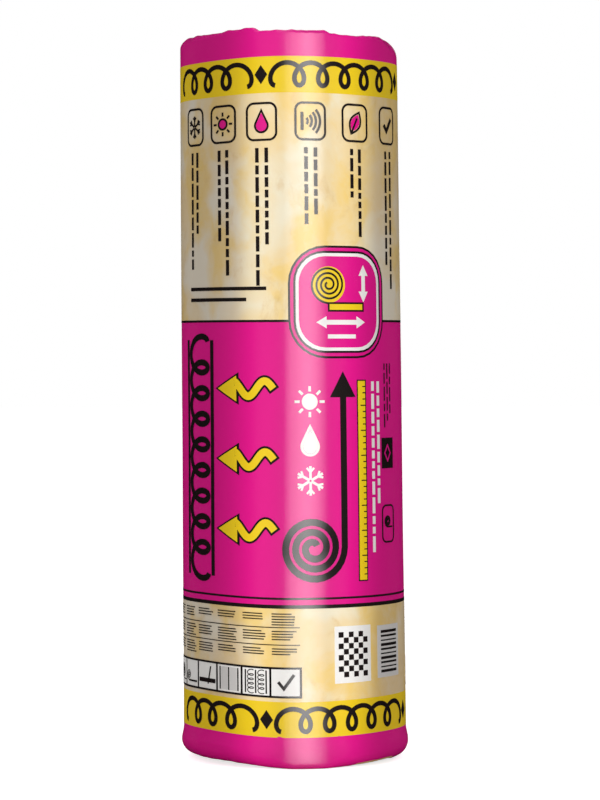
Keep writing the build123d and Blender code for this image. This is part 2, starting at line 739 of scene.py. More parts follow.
@dataclass(frozen=True)
class RollShape:
    """The wrapped roll's outer form, as it stands: wider at its foot and uneven at its rims."""

    height: float = 1.2
    foot_radius: float = 0.1861
    head_radius: float = 0.1815
    lean: float = 0.0080

    # The foot swells where the roll settles on it.
    swell: float = 0.0034
    swell_low: float = 0.030
    swell_high: float = 0.053

    # The wall is wavy all over, with finer waves near both ends that drift over its height.
    wave: float = 0.0006
    waves_across: float = 1.1
    waves_up: float = 4.5
    fine_wave: float = 0.0005
    fine_waves: float = 30.0
    fine_drift: float = 2.0
    fine_reach: float = 0.16

    # Levels of both rims: azimuth and rise.
    head_level: Marks = (
        (-2.40, 0.0), (-1.30, -0.0014), (-0.68, -0.0006), (-0.56, 0.0022), (-0.46, 0.0028),
        (-0.385, 0.0052), (-0.33, 0.0050), (-0.26, 0.0), (0.33, 0.0), (0.42, -0.0046),
        (0.62, -0.0056), (0.90, -0.0056), (1.15, -0.0038), (1.90, -0.0036), (2.90, 0.0),
    )
    foot_level: Marks = (
        (-2.90, 0.0), (-1.95, 0.0020), (-1.25, 0.0045), (-0.80, 0.0050), (-0.48, 0.0036),
        (-0.10, 0.0), (0.50, 0.0), (1.00, 0.0015), (1.90, 0.0015), (2.90, 0.0),
    )
    fold_level: float = 0.0006
    rag: float = 0.0012
    rag_ripples: tuple[Ripple, ...] = ((0.55, 26.0, 5.0), (0.60, 95.0, 9.0))
    slump_spread: float = 0.2

    # The bend from the wall into the fold. The marks give an azimuth and what is added there.
    foot_bend: float = 0.018
    foot_round: Marks = (
        (-2.90, 0.0), (-1.95, 0.001), (-1.20, 0.013), (-0.75, 0.013), (-0.20, -0.002),
        (0.0, -0.012), (0.24, -0.012), (0.50, 0.0), (1.10, 0.007), (1.90, 0.007), (2.90, 0.0),
    )
    head_bend: float = 0.006
    head_bend_left: float = 0.006
    head_left: Span = (0.35, 1.0)
    head_bend_right: float = 0.022
    head_right: Span = (0.78, 1.0)
    head_bend_back: float = 0.003

    # The lip of the fold. It is cut short on the right of the foot, where the wool shows.
    lip_radius: float = 0.1482
    lip_unevenness: float = 0.0045
    lip_ripples: tuple[Ripple, ...] = ((0.7, 22.0, 20.0), (0.5, 64.0, 30.0))
    short_from: Span = (0.48, 0.60)
    short_until: Span = (1.35, 1.05)
    short_bend: float = 0.78

    # The gathers at the lip.
    pleats: int = 31
    pleat_drift: Ripple = (0.10, 9.0, 40.0)
    pleat_size: float = 0.6
    pleat_ripple: Ripple = (0.6, 18.0, 50.0)
    pleat_least: float = 0.12
    pleat_crest: float = 0.78
    pleat_start: float = 0.10
    head_pleat: float = 0.0032
    foot_pleat: float = 0.0008
    head_sag: float = 0.0022
    sag_run: float = 0.03

    # The lap down the back.
    back_azimuth: float = math.pi
    lap_half_width: float = 0.015
    lap_lift: float = 0.0007
    lap_ease: float = 0.0015
    lap_low: float = 0.04
    lap_high: float = 1.16

    # How the film, with its print, was drawn up or down: height and rise, at the front and aside.
    print_front: Marks = (
        (0.0, 0.0020), (0.08, 0.0020), (0.27, 0.0010),
        (0.72, 0.0018), (1.12, -0.0016), (1.2, -0.0016),
    )
    print_left: Marks = (
        (0.0, 0.0096), (0.08, 0.0096), (0.27, 0.0054),
        (0.72, 0.0019), (1.12, -0.0068), (1.2, -0.0068),
    )
    print_right: Marks = (
        (0.0, 0.0050), (0.08, 0.0050), (0.27, 0.0014),
        (0.72, 0.0016), (1.12, -0.0043), (1.2, -0.0043),
    )
    aside_from: Span = (0.0, 1.05)
    aside_until: Span = (2.9, 1.5)

    def lean_at(self, height: float) -> float:
        """How far the roll's middle stands to the right at a height."""
        return self.lean * (0.5 - height / self.height)

    def wall_radius(self, height: float, azimuth: float) -> float:
        """Radius of the film at a height, with its slight hand-wound unevenness.

        Args:
            height: Height over the floor.
            azimuth: Direction from the axis.

        Returns:
            The radius of the film's outer face.
        """
        share = height / self.height
        radius = self.foot_radius + (self.head_radius - self.foot_radius) * share
        radius += self.swell * smooth_step(self.swell_high, self.swell_low, height)
        across, up = self.waves_across, self.waves_up * share
        place = Vector((across * math.cos(azimuth), across * math.sin(azimuth), up))
        radius += self.wave * noise.noise(place)
        near_end = smooth_step(self.fine_reach, 0.0, min(height, self.height - height))
        fine = round_noise(azimuth, self.fine_waves, self.fine_drift * share)
        return radius + self.fine_wave * near_end * fine

    def rim_height(self, azimuth: float, end: End) -> float:
        """Level of the folded film at one end.

        Args:
            azimuth: Direction from the axis.
            end: Which end.

        Returns:
            Its height over the floor.
        """
        if end is End.FOOT:
            return self.fold_level + follow(self.foot_level, azimuth)
        ragged = self.rag * (2.0 * rippled(self.rag_ripples, azimuth) - 1.0)
        return self.height + follow(self.head_level, azimuth) + ragged

    def slump(self, azimuth: float) -> float:
        """How far the roll has slumped at its head in one direction."""
        spread = (-self.slump_spread, self.slump_spread)
        return max(0.0, *(-follow(self.head_level, azimuth + shift) for shift in spread))

    def rim_round(self, azimuth: float, end: End) -> float:
        """Radius of the film's bend from the wall into its fold.

        Args:
            azimuth: Direction from the axis.
            end: Which end.

        Returns:
            The radius of the bend.
        """
        if end is End.FOOT:
            return self.foot_bend + follow(self.foot_round, azimuth)
        side = math.sin(azimuth)
        bend = self.head_bend + self.head_bend_left * smooth_step(*self.head_left, -side)
        bend += self.head_bend_right * smooth_step(*self.head_right, side)
        return bend + self.head_bend_back * (1 - math.cos(azimuth))

    def fold_reach(self, azimuth: float, end: End) -> float:
        """Length of film from the top of the wall to its free lip.

        Args:
            azimuth: Direction from the axis.
            end: Which end.

        Returns:
            The length, measured along the film.
        """
        bend = self.rim_round(azimuth, end)
        wall = self.head_radius if end is End.HEAD else self.foot_radius + self.swell
        uneven = rippled(self.lip_ripples, azimuth, end.value)
        flat = wall - bend - self.lip_radius + self.lip_unevenness * uneven
        reach = bend * math.pi / 2 + flat
        if end is End.FOOT:
            short = smooth_step(*self.short_from, azimuth) * smooth_step(*self.short_until, azimuth)
            reach += short * (bend * self.short_bend - reach)
        return reach

    def pleat(self, azimuth: float, end: End) -> float:
        """Height of the gathers at the film's lip, which lean one way.

        Args:
            azimuth: Direction from the axis.
            end: Which end.

        Returns:
            The height, about 1 on the crest of a gather.
        """
        drift = azimuth + rippled((self.pleat_drift,), azimuth, end.value)
        phase = (drift * self.pleats / TURN) % 1.0
        crest = self.pleat_crest
        slope = phase / crest if phase < crest else (1 - phase) / (1 - crest)
        size = self.pleat_size + rippled((self.pleat_ripple,), azimuth, end.value)
        return max(size, self.pleat_least) * slope * slope * (3 - 2 * slope)

    def sag(self, flat: float, end: End) -> float:
        """How far the fold lies below the rim at a distance in from the bend."""
        return self.head_sag * smooth_step(0.0, self.sag_run, flat) if end is End.HEAD else 0.0

    def fold_point(self, share: float, azimuth: float, end: End) -> Point2:
        """A point on the film's fold over one end.

        Args:
            share: 0 where the fold leaves the wall, 1 at its lip.
            azimuth: Direction from the axis.
            end: Which end.

        Returns:
            The point's radius and height.
        """
        bend = self.rim_round(azimuth, end)
        start = self.rim_height(azimuth, end) - end.value * bend
        gone = share * self.fold_reach(azimuth, end)
        angle = min(gone / bend, math.pi / 2)
        flat = max(gone - bend * math.pi / 2, 0.0)
        radius = self.wall_radius(start, azimuth) - bend * (1 - math.cos(angle)) - flat
        rise = self.head_pleat if end is End.HEAD else self.foot_pleat
        crease = rise * self.pleat(azimuth, end) * smooth_step(self.pleat_start, 1.0, share)
        return radius, start + end.value * bend * math.sin(angle) + crease - self.sag(flat, end)

    def lap_rise(self, azimuth: float, height: float) -> float:
        """How far the second layer of film stands off the first at the back.

        Args:
            azimuth: Direction from the axis.
            height: Height over the floor.

        Returns:
            The lap's lift there, 0 beside it.
        """
        across = abs(wrapped(azimuth - self.back_azimuth)) * self.foot_radius
        inside = smooth_step(self.lap_half_width + self.lap_ease, self.lap_half_width, across)
        return self.lap_lift * inside if self.lap_low < height < self.lap_high else 0.0

    def print_rise(self, azimuth: float, height: float) -> float:
        """How far the film was drawn up or down, with its print, when the roll was wrapped.

        Args:
            azimuth: Direction from the axis.
            height: Height over the floor.

        Returns:
            The rise of the print there.
        """
        side = self.print_left if azimuth < 0 else self.print_right
        front = follow(self.print_front, height)
        turned = abs(wrapped(azimuth))
        aside = smooth_step(*self.aside_from, turned) * smooth_step(*self.aside_until, turned)
        return front + (follow(side, height) - front) * aside

    def on_wall(self, across: float, height: float, lift: float) -> Vector:
        """Wraps a flat point of the print round the roll.

        Args:
            across: Distance round the roll from the middle of the front.
            height: Height over the floor.
            lift: Distance out from the film's face.

        Returns:
            The wrapped point.
        """
        azimuth = across / self.foot_radius
        height += self.print_rise(azimuth, height)
        radius = self.wall_radius(height, azimuth) + self.lap_rise(azimuth, height) + lift
        return round_point(radius, azimuth, height)


@dataclass
class FilmSleeve:
    """The printed film: wall, folds over both ends, gathers, and the lap down the back."""

    shape: RollShape
    film: bpy.types.Material
    thickness: float = 0.0004
    columns: int = 440
    sectors: int = 10
    rows: int = 96
    row_crowding: float = 1.5
    fold_share: float = 0.22
    lap_columns: int = 44
    lap_rows: int = 260
    lap_seat: float = 0.0002
    loose: float = 0.0012
    loose_span: Span = (0.80, 1.0)
    rib: float = 0.00016
    rib_pitch: float = 0.0028
    rib_span: Span = (0.75, 0.6)

    def film_point(self, azimuth: float, run: float) -> Vector:
        """A point of the film's outer face.

        Args:
            azimuth: Direction from the axis.
            run: Share of the way from the foot's lip to the head's lip.

        Returns:
            The point.
        """
        shape, fold = self.shape, self.fold_share
        if run < fold:
            radius, height = shape.fold_point(1 - run / fold, azimuth, End.FOOT)
        elif run > 1 - fold:
            radius, height = shape.fold_point(1 - (1 - run) / fold, azimuth, End.HEAD)
        else:
            share = (run - fold) / (1 - 2 * fold)
            low = shape.rim_height(azimuth, End.FOOT) + shape.rim_round(azimuth, End.FOOT)
            high = shape.rim_height(azimuth, End.HEAD) - shape.rim_round(azimuth, End.HEAD)
            height = low + (high - low) * share**self.row_crowding
            radius = shape.wall_radius(height, azimuth)
        return round_point(radius, azimuth, height)

    def build_skin(self) -> bpy.types.Object:
        """Draws the film's profile, spins it all round, and works its rims, gathers and wall over.

        Returns:
            The film with its thickness.
        """
        profile = [self.film_point(0.0, row / self.rows) for row in range(self.rows + 1)]
        skin = drawn_line("film_skin", profile, "run")
        spun(skin, self.columns // self.sectors, TURN / self.sectors)
        turns = [TURN * count / self.sectors for count in range(1, self.sectors)]
        skin = joined([skin, *[copied(skin, turn) for turn in turns]])
        close_up(skin)
        run = skin.data.attributes["run"].data
        for index, vertex in enumerate(skin.data.vertices):
            vertex.co = self.film_point(math.atan2(vertex.co.x, -vertex.co.y), run[index].value)
        apply_solidify(skin, self.thickness)
        bpy.ops.object.shade_smooth()
        dress(skin, self.film, self.shape)
        return skin

    def lap_place(self, across: float, up: float) -> Vector:
        """Place of a point of the back lap, with its sealed ribs and its free edge a little loose.

        Args:
            across: Share of the lap's width.
            up: Share of its height.

        Returns:
            The point.
        """
        shape = self.shape
        offset = (across - 0.5) * 2 * shape.lap_half_width
        height = shape.lap_low + (shape.lap_high - shape.lap_low) * up
        azimuth = shape.back_azimuth + offset / shape.foot_radius
        wave = 0.5 + noise.noise(Vector((7.0 * height, 3.0, 1.0)))
        loose = self.loose * wave * smooth_step(*self.loose_span, across)
        ribs = self.rib * (1 + math.sin(offset * TURN / self.rib_pitch))
        lift = shape.lap_lift - self.lap_seat + loose + ribs * smooth_step(*self.rib_span, across)
        return round_point(shape.wall_radius(height, azimuth) + lift, azimuth, height)

    def build_lap(self) -> bpy.types.Object:
        """Forms the lap.

        Returns:
            The second layer of film, with its thickness.
        """
        lap = formed_grid("film_lap", self.lap_columns, self.lap_rows, self.lap_place)
        apply_solidify(lap, self.thickness)
        dress(lap, self.film, self.shape)
        return lap

    def build(self) -> list[bpy.types.Object]:
        """Builds both pieces and stands them in for the plain sleeve.

        Returns:
            The skin and the lap.
        """
        pieces = [self.build_skin(), self.build_lap()]
        for piece in pieces:
            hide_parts("film_sleeve")
        return pieces


@dataclass
class WoolMat:
    """The mat, modelled flat and wound up, with the cut fibres that stand off its ends."""

    shape: RollShape
    wool: bpy.types.Material

    # The winding: radius of the hole, thickness of a turn, and the gap between two turns.
    bore: float = 0.022
    pitch: float = 0.0206
    gap: float = 0.0003
    station: float = 0.0042
    fewest_stations: int = 6

    # The section: its points, how many of them are on each end, and how its edges are rounded.
    around: int = 36
    end_points: int = 13
    edge_depth: float = 0.0092
    edge_power: float = 3.2

    # How far the mat stays inside the film, and where the film's fold starts to press it.
    clearance: float = 0.0012
    settled: float = 0.0006
    cover_margin: Span = (0.012, 0.005)

    # The unevenness of its ends. The noise has lumps to a metre.
    near_end: float = 0.03
    lump: float = 0.0016
    lumps: float = 60.0
    fine_lump: float = 0.0012
    fine_lumps: float = 190.0
    wave: float = 0.0018
    waves: float = 2.2
    drift: float = 0.0008
    drifts: float = 90.0
    slump_span: Span = (0.02, 0.14)

    # Loose fibres: how many, how thick, where on a turn they root, how far they reach and rise.
    fibres_each_end: int = 1500
    fibre_radius: float = 0.00016
    fibre_place: Span = (0.12, 0.88)
    fibre_reach: Span = (0.003, 0.010)
    fibre_stand: Span = (0.0004, 0.0028)
    fibre_root: float = 0.002
    fibre_margin: float = 0.007
    fibre_bend: tuple[Point2, ...] = ((0.35, 1.0), (0.75, 1.15), (1.0, 0.6))
    floor_gap: float = 0.0002
    seed: int = 11

    @property
    def end_share(self) -> float:
        """Share of the section's points that one end takes up."""
        return self.end_points / self.around

    def section_point(self, share: float) -> Point2:
        """A point on the mat's cross-section.

        Args:
            share: Way round the section: head end, outer side, foot end, inner side.

        Returns:
            The share across the mat's thickness and the height.
        """
        ends = self.end_share
        sides = 0.5 - ends
        top = self.shape.height
        length = top - 2 * self.edge_depth
        if ends <= share < 0.5:
            return 1.0, top - self.edge_depth - length * (share - ends) / sides
        if share >= 0.5 + ends:
            return 0.0, self.edge_depth + length * (share - 0.5 - ends) / sides
        across = share / ends if share < ends else 1 - (share - 0.5) / ends
        drop = self.edge_depth * abs(2 * across - 1) ** self.edge_power
        return across, top - drop if share < ends else drop

    def covered(self, radius: float, azimuth: float, end: End) -> float:
        """How far the film over the mat's outer turns presses its end in.

        Args:
            radius: Distance from the axis.
            azimuth: Direction from the axis.
            end: Which end.

        Returns:
            The least distance from the mat's end at full height to the wool there.
        """
        bend = self.shape.rim_round(azimuth, end)
        level = self.shape.rim_height(azimuth, end)
        wall = self.shape.wall_radius(level - end.value * bend, azimuth)
        flat = wall - bend - radius
        pressed = level if end is End.FOOT else self.shape.height - level
        pressed += self.clearance + self.shape.sag(flat, end)
        bare, under = (self.shape.lip_radius - margin for margin in self.cover_margin)
        pressed *= smooth_step(bare, under, radius)
        run = min(max(-flat, 0.0), bend)
        return pressed + bend - math.sqrt(bend * bend - run * run)

    def wound_point(self, angle: float, share: float) -> Vector:
        """Place of a point of the mat.

        Args:
            angle: Angle wound from the mat's start, from +X.
            share: Way round the mat's cross-section.

        Returns:
            The wound point, with the slumps and tufts of loose wool near the ends.
        """
        shape = self.shape
        thick, height = self.section_point(share)
        inner = self.bore + self.pitch * angle / TURN
        azimuth = wrapped(angle + math.pi / 2)
        wall = shape.wall_radius(max(height, shape.swell_high), azimuth)
        radius = min(inner + (self.pitch - self.gap) * thick, wall - self.clearance)
        point = Vector((radius * math.cos(angle), radius * math.sin(angle), height))
        end = End.HEAD if height > shape.height / 2 else End.FOOT
        near = smooth_step(self.near_end, 0.0, min(height, shape.height - height))
        if near <= 0.0:
            return point
        hollows = [(self.lump, point * self.lumps), (self.fine_lump, point * self.fine_lumps)]
        if end is End.HEAD:
            hollows.append((self.wave, Vector((angle * inner * self.waves, 7.0, 0.0))))
        shrink = near * sum(depth * (0.5 + 0.5 * noise.noise(place)) for depth, place in hollows)
        if end is End.HEAD:
            shrink += shape.slump(azimuth) * smooth_step(*self.slump_span, radius) + self.settled
        shrink = max(shrink, self.covered(radius, azimuth, end))
        point.x += self.drift * near * noise.noise(point * self.drifts)
        point.y += self.drift * near * noise.noise(point * self.drifts + Vector((9.0, 9.0, 9.0)))
        point.z = height - end.value * shrink
        return point

    def angle_of(self, point: Vector, thick: float) -> float:
        """Angle wound at a point of the spun mat.

        Args:
            point: The point.
            thick: Its share of the mat's thickness.

        Returns:
            The angle from the mat's start.
        """
        turned = math.atan2(point.y, point.x)
        wound = (math.hypot(point.x, point.y) - self.bore) / self.pitch - thick
        return turned + TURN * round(wound - turned / TURN)

    def drawn_section(self, across: float) -> bpy.types.Object:
        """Draws the mat's cross-section upright.

        Args:
            across: Its inner side, on +X, or on -X for a negative distance.

        Returns:
            The section, whose points keep their share of the way round it.
        """
        deselect_everything()
        bpy.ops.mesh.primitive_circle_add(vertices=self.around, radius=self.pitch)
        section = named("wool_mat")
        shares = section.data.attributes.new("section", "FLOAT", "POINT")
        for index, vertex in enumerate(section.data.vertices):
            shares.data[index].value = index / self.around
            thick, height = self.section_point(index / self.around)
            vertex.co = (across + math.copysign(self.pitch * thick, across), 0.0, height)
        return section

    def spin_mat(self) -> bpy.types.Object:
        """Winds the mat's cross-section up, half turn by half turn, on two centres.

        Returns:
            The spun mat, with its "section" shares.
        """
        outer = self.shape.foot_radius - self.clearance
        half_turns = 2 * (outer - self.bore) / self.pitch
        windings = []
        for count in range(math.ceil(half_turns)):
            part = min(half_turns - count, 1.0)
            side = -1 if count % 2 else 1
            winding = self.drawn_section(side * (self.bore + self.pitch * count / 2))
            middle = self.bore + self.pitch * (count / 2 + 0.75)
            steps = max(round(part * math.pi * middle / self.station), self.fewest_stations)
            spun(winding, steps, -part * math.pi, -side * self.pitch / 4)
            windings.append(winding)
        mat = joined(windings)
        close_up(mat)
        return mat

    def build_mat(self) -> bpy.types.Object:
        """Winds the mat, closes its two cut edges and works its ends over.

        Returns:
            The mat.
        """
        mat = self.spin_mat()
        with editing(mat):
            bpy.ops.mesh.select_all(action="DESELECT")
            bpy.ops.mesh.select_mode(type="EDGE")
            bpy.ops.mesh.select_non_manifold()
            bpy.ops.mesh.fill()
        close_up(mat)
        shares = [item.value for item in mat.data.attributes["section"].data]
        flat = mat.data.attributes.new("mat", "FLOAT_VECTOR", "POINT")
        for index, vertex in enumerate(mat.data.vertices):
            thick, height = self.section_point(shares[index])
            angle = self.angle_of(vertex.co, thick)
            along = angle * (self.bore + self.pitch * angle / TURN / 2)
            flat.data[index].vector = (along, thick * self.pitch, height)
            vertex.co = self.wound_point(angle, shares[index])
        bpy.ops.object.shade_smooth()
        dress(mat, self.wool, self.shape)
        return mat

    def fibre(self, dice: random.Random, end: End) -> list[Vector]:
        """Draws one loose fibre on an end: rooted in a turn, bent over at its tip.

        Args:
            dice: Seeded source of chance.
            end: Which end it stands on.

        Returns:
            The points of the fibre from its root.
        """
        near, far = self.bore + self.pitch, self.shape.lip_radius - self.fibre_margin
        radius = math.sqrt(dice.uniform(near * near, far * far))
        thick = dice.uniform(*self.fibre_place)
        share = self.end_share * thick if end is End.HEAD else 0.5 + self.end_share * (1 - thick)
        up = Vector((0.0, 0.0, float(end.value)))
        root = self.wound_point(TURN * ((radius - self.bore) / self.pitch - thick), share)
        reach = dice.uniform(*self.fibre_reach)
        lean = dice.uniform(0, TURN)
        side = Vector((math.cos(lean), math.sin(lean), 0.0))
        stand = dice.uniform(*self.fibre_stand) if end is End.HEAD else 0.0
        bent = [root + side * reach * gone + up * stand * rise for gone, rise in self.fibre_bend]
        return [root - up * self.fibre_root, *bent]

    def build_fibres(self) -> bpy.types.Object:
        """Makes the loose fibres of both ends as one mesh of fine tubes.

        Returns:
            The fibres.
        """
        dice = random.Random(self.seed)
        curve = bpy.data.curves.new("wool_fibres", "CURVE")
        curve.dimensions = "3D"
        curve.bevel_depth = self.fibre_radius
        curve.bevel_resolution = 0
        curve.use_fill_caps = True
        for end in End:
            for _ in range(self.fibres_each_end):
                points = self.fibre(dice, end)
                add_run(curve, [(x, y, max(z, self.floor_gap)) for x, y, z in points])
        strands = as_meshes([placed("wool_fibres", curve)])[0]
        dress(strands, self.wool, self.shape)
        return strands

    def build(self) -> list[bpy.types.Object]:
        """Builds the mat and its fibres and stands them in for the plain roll.

        Returns:
            The mat and the fibres.
        """
        pieces = [self.build_mat(), self.build_fibres()]
        for piece in pieces:
            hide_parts("wool_roll")
        return pieces


def moved(
    points: Outline, across: float, up: float, scale: float = 1.0, turn: float = 0.0
) -> Outline:
    """Scales an outline, turns it by some degrees and moves it to its place."""
    cosine, sine = scale * math.cos(math.radians(turn)), scale * math.sin(math.radians(turn))
    return [(across + x * cosine - y * sine, up + x * sine + y * cosine) for x, y in points]


def mitres(points: Outline, closed: bool) -> list[float]:
    """How much wider a line's section is at each point, so that its corners stay full.

    Args:
        points: Points of the line.
        closed: Whether its end joins its start.

    Returns:
        A factor for each point, 1 where the line runs straight on.
    """
    widths = []
    count = len(points)
    for index, (across, up) in enumerate(points):
        if not closed and index in (0, count - 1):
            widths.append(1.0)
            continue
        before, after = points[index - 1], points[(index + 1) % count]
        come = math.atan2(up - before[1], across - before[0])
        leave = math.atan2(after[1] - up, after[0] - across)
        widths.append(1 / max(math.cos(wrapped(leave - come) / 2), 0.5))
    return widths


def arc(
    across: float, up: float, radius: float, start: float, sweep: float, steps: int = 14
) -> Outline:
    """Points of a part of a circle; the start and the sweep are in degrees."""
    angles = [math.radians(start + sweep * step / steps) for step in range(steps + 1)]
    return [(across + radius * math.cos(angle), up + radius * math.sin(angle)) for angle in angles]


def circle(across: float, up: float, radius: float) -> Outline:
    """Points of a circle."""
    return arc(across, up, radius, 0.0, 360.0, 32)[:-1]


def box(across: float, up: float, width: float, height: float) -> Outline:
    """Corners of an upright box about its middle."""
    corners = ((-0.5, -0.5), (0.5, -0.5), (0.5, 0.5), (-0.5, 0.5))
    return [(across + width * side, up + height * rise) for side, rise in corners]


def rounded_box(across: float, up: float, width: float, height: float, corner: float) -> Outline:
    """Outline of a box with round corners.

    Args:
        across: Its middle, across.
        up: Its middle, upwards.
        width: Its width.
        height: Its height.
        corner: Radius of its corners.

    Returns:
        The points of the outline.
    """
    outline: Outline = []
    for quarter, (side, rise) in enumerate(((1, 1), (-1, 1), (-1, -1), (1, -1))):
        middle = (across + side * (width / 2 - corner), up + rise * (height / 2 - corner))
        outline += arc(*middle, corner, 90 * quarter, 90, 7)
    return outline


def loops(length: float, rise: float, period: float) -> Outline:
    """The looping line that stands for insulation on a builder's drawing, from the flat origin.

    Args:
        length: How far it runs.
        rise: Half of its height.
        period: Distance from one loop to the next.

    Returns:
        The points of the line, left to right.
    """
    steps = 26
    lean = period * 0.42
    points = []
    for step in range(round(length / period) * steps + 1):
        angle = TURN * (step / steps)
        points.append((period * step / steps - lean * math.sin(angle), -rise * math.cos(angle)))
    return points


def coil(turns: float, inner: float, outer: float) -> Outline:
    """A spiral about the flat origin that ends at its lowest point, running to the right.

    Args:
        turns: Number of its turns.
        inner: Radius at its start.
        outer: Radius at its end.

    Returns:
        The points of the spiral from its start.
    """
    steps_each = 30
    count = round(turns * steps_each)
    points = []
    for step in range(count + 1):
        share = step / count
        angle = TURN * turns * (share - 1) - math.pi / 2
        radius = inner + (outer - inner) * share
        points.append((radius * math.cos(angle), radius * math.sin(angle)))
    return points


def arrow_head(size: float) -> Outline:
    """A plain arrow head about the flat origin, pointing right."""
    return [(-size * 0.5, -size * 0.62), (size * 0.6, 0.0), (-size * 0.5, size * 0.62)]


DIAMOND: Outline = [(-0.7, 0.0), (0.0, -1.0), (0.7, 0.0), (0.0, 1.0)]


@dataclass
class Plate:
    """All that one ink prints, drawn flat and then wrapped round the roll.

    A part of the print on a higher level lies over the parts on the levels below it. In the flat
    drawing, z is the level, a little more on the print's outer face and a little less on its inner.
    """

    ink: PlainInk | CloudInk
    slot: Slot
    shape: RollShape
    level: int
    shift: float = 0.0
    step: float = 0.00013
    half_thickness: float = 0.00005
    flat_depth: float = 0.25
    merge: float = 0.000002
    facet: float = 0.010
    rise: float = 0.025
    smooth_angle: float = math.radians(40)
    strokes: list[tuple[Outline, float, bool, int]] = field(default_factory=list)
    patches: list[tuple[list[Outline], int]] = field(default_factory=list)

    def stroke(self, points: Outline, width: float, closed: bool = False, level: int = 0) -> None:
        """Draws a line.

        Args:
            points: Points of the line.
            width: Its width.
            closed: Whether its end joins its start.
            level: Its level, where that isn't the plate's own.
        """
        line = self.in_steps([*points, points[0]] if closed else points)
        line = line[:-1] if closed else line
        self.strokes.append((moved(line, self.shift, 0.0), width, closed, level or self.level))

    def in_steps(self, points: Outline) -> Outline:
        """Divides the long runs of a line, so that it can follow the roll's wall.

        Args:
            points: Points of the line.

        Returns:
            The points with more between them.
        """
        line = [points[0]]
        for (x, y), (far_x, far_y) in zip(points, points[1:]):
            run, climb = far_x - x, far_y - y
            parts = max(math.ceil(abs(run) / self.facet), math.ceil(abs(climb) / self.rise), 1)
            for part in range(1, parts + 1):
                line.append((x + run * part / parts, y + climb * part / parts))
        return line

    def patch(self, *outlines: Outline, level: int = 0) -> None:
        """Fills an outline; further outlines inside it are left open."""
        drawn = [moved(outline, self.shift, 0.0) for outline in outlines]
        self.patches.append((drawn, level or self.level))

    def stroke_mesh(self) -> bpy.types.Object:
        """Turns the lines into one curve with a square section, scaled to each line's width.

        Returns:
            The curve as a mesh.
        """
        deselect_everything()
        bpy.ops.curve.primitive_bezier_curve_add()
        section = bpy.context.object
        section.data.splines.clear()
        add_run(section.data, [(*corner, 0.0) for corner in box(0.0, 0.0, 1.0, 1.0)], closed=True)
        curve = bpy.data.curves.new(self.ink.name, "CURVE")
        curve.dimensions = "3D"
        curve.twist_mode = "Z_UP"
        curve.bevel_mode = "OBJECT"
        curve.bevel_object = section
        curve.use_fill_caps = True
        for points, width, closed, level in self.strokes:
            spline = add_run(curve, [(*point, float(level)) for point in points], closed)
            for knot, mitre in zip(spline.points, mitres(points, closed)):
                knot.radius = width * mitre
        mesh = as_meshes([placed(self.ink.name, curve)])[0]
        bpy.data.objects.remove(section)
        return mesh

    def patch_mesh(self) -> bpy.types.Object:
        """Turns the filled outlines into thin solids.

        Returns:
            All of them as one mesh.
        """
        drawn = []
        for outlines, level in self.patches:
            curve = bpy.data.curves.new(self.ink.name, "CURVE")
            curve.dimensions = "2D"
            curve.fill_mode = "BOTH"
            curve.extrude = self.flat_depth
            for outline in outlines:
                add_run(curve, [(*point, 0.0) for point in outline], closed=True)
            patch = placed(curve.name, curve)
            patch.location.z = float(level)
            drawn.append(patch)
        drawn = as_meshes(drawn)
        bpy.ops.object.transform_apply(location=True, rotation=True, scale=True)
        return joined(drawn)

    def slice_up(self, piece: bpy.types.Object) -> None:
        """Cuts the flat print into small fields, so that it can follow the roll's wall.

        Args:
            piece: The filled outlines.
        """
        spots = [vertex.co.copy() for vertex in piece.data.vertices]
        with editing(piece):
            bpy.ops.mesh.select_mode(type="VERT")
            for axis, spacing in ((0, self.facet), (1, self.rise)):
                low, high = min(spot[axis] for spot in spots), max(spot[axis] for spot in spots)
                normal = (1.0, 0.0, 0.0) if axis == 0 else (0.0, 1.0, 0.0)
                for index in range(math.ceil(low / spacing), math.floor(high / spacing) + 1):
                    bpy.ops.mesh.select_all(action="SELECT")
                    cut = tuple(part * index * spacing for part in normal)
                    bpy.ops.mesh.bisect(plane_co=cut, plane_no=normal, threshold=self.merge / 2)

    def build(self) -> bpy.types.Object:
        """Joins the ink's lines and patches and wraps them round the roll.

        Returns:
            The printed piece.
        """
        drawn = []
        if self.patches:
            drawn.append(self.patch_mesh())
            self.slice_up(drawn[0])
        if self.strokes:
            drawn.append(self.stroke_mesh())
        joined(drawn)
        piece = named(self.ink.name)
        close_up(piece, self.merge)
        for vertex in piece.data.vertices:
            across, up, side = vertex.co
            level = round(side)
            face = self.half_thickness
            lift = self.step * level + face if side > level else -face
            vertex.co = self.shape.on_wall(across, up, lift)
        choose(piece)
        bpy.ops.object.shade_smooth_by_angle(angle=self.smooth_angle)
        dress(piece, self.ink.material(), self.shape)
        return piece


class Sign(Enum):
    """What the small signs show."""

    SNOW = "snow"
    SUN = "sun"
    DROP = "drop"
    SOUND = "sound"
    LEAF = "leaf"
    ROLL = "roll"
    TICK = "tick"


